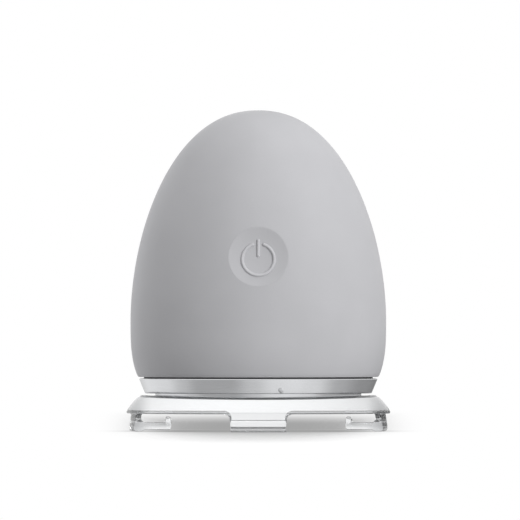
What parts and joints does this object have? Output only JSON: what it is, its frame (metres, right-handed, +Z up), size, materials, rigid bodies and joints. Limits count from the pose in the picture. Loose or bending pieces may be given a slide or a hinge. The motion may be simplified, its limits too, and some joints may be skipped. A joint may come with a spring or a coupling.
{
  "type": "ionic facial cleansing device",
  "caption": "Egg-shaped handheld ionic facial cleanser with soft grip, dished power button, metal band, metal probe head and clear hooked ring that holds a cotton pad and serves as its stand.",
  "frame": {"origin": "centre of the bounding box at its base, on the plane of the ring's feet", "axes": "+Z up from the feet to the crown, +X to the user's right as the power button is faced, the power button faces -Y"},
  "size_m": [0.064, 0.0504, 0.0778],
  "materials": {
    "grip_silicone": "soft-touch matt silicone rubber, mid grey",
    "button_silicone": "soft-touch matt silicone rubber, mid grey",
    "white_abs": "moulded ABS, off-white",
    "grey_abs": "moulded ABS, light grey",
    "dark_abs": "moulded ABS, dark grey",
    "black_plastic": "moulded thermoplastic, black",
    "switch_metal": "stamped steel cover",
    "circuit_board": "green solder mask on glass-epoxy board",
    "lamp_resin": "white lamp resin",
    "screw_steel": "zinc-plated steel",
    "cell_foil": "aluminium laminate pouch",
    "black_foam": "closed-cell foam",
    "red_wire": "red insulated wire",
    "blue_wire": "blue insulated wire",
    "black_rubber": "silicone rubber seal, black",
    "satin_metal": "satin-plated metal",
    "polished_metal": "polished stainless steel",
    "brass_spring": "gold-plated spring metal",
    "amber_film": "amber polyimide film",
    "motor_steel": "nickel-plated steel",
    "weight_metal": "sintered heavy metal",
    "clear_plastic": "clear polycarbonate, polished"
  },
  "bodies": {
    "device": {"outer_sleeve": "grip_silicone", "tact_switch": "switch_metal", "main_board": "circuit_board", "charge_board": "circuit_board", "board_components": "black_plastic", "status_leds": "lamp_resin", "board_screws": "screw_steel", "chassis_screws": "screw_steel", "housing_screws": "screw_steel", "inner_chassis": "grey_abs", "battery_cell": "cell_foil", "battery_foam": "black_foam", "battery_leads": "red_wire", "housing_front": "white_abs", "housing_rear": "white_abs", "base_frame": "dark_abs", "base_gasket": "black_rubber", "electrode_band": "satin_metal", "band_contact": "brass_spring", "insulating_collar": "white_abs", "probe_plate": "polished_metal", "heater_film": "amber_film", "pressure_foam": "black_foam", "probe_contact_pin": "brass_spring", "vibration_motor": "motor_steel", "motor_end_cap": "black_plastic", "motor_mount": "grey_abs", "motor_leads": "blue_wire", "usb_socket": "motor_steel", "socket_tongue": "black_plastic"},
    "button": {"power_button": "button_silicone", "button_actuator": "white_abs", "switch_stem": "black_plastic"},
    "rotor": {"motor_shaft": "motor_steel", "eccentric_weight": "weight_metal"},
    "plug": {"port_plug": "grip_silicone"},
    "ring": {"pad_ring": "clear_plastic"}
  },
  "joints": [
    {"name": "button_press", "type": "slide", "parent": "device", "child": "button", "axis": [0, 0.988, -0.1543], "range_m": [0, 0.0004], "stiffness_N_per_m": 600, "springref_m": -0.0004},
    {"name": "motor_spin", "type": "hinge", "parent": "device", "child": "rotor", "pos_m": [0, 0.00935, 0.019], "axis": [1, 0, 0], "continuous": true},
    {"name": "plug_pull", "type": "slide", "parent": "device", "child": "plug", "axis": [0, 1, 0], "range_m": [0, 0.006]},
    {"name": "ring_release", "type": "slide", "parent": "device", "child": "ring", "axis": [0, 0, -1], "range_m": [0, 0.012]}
  ]
}
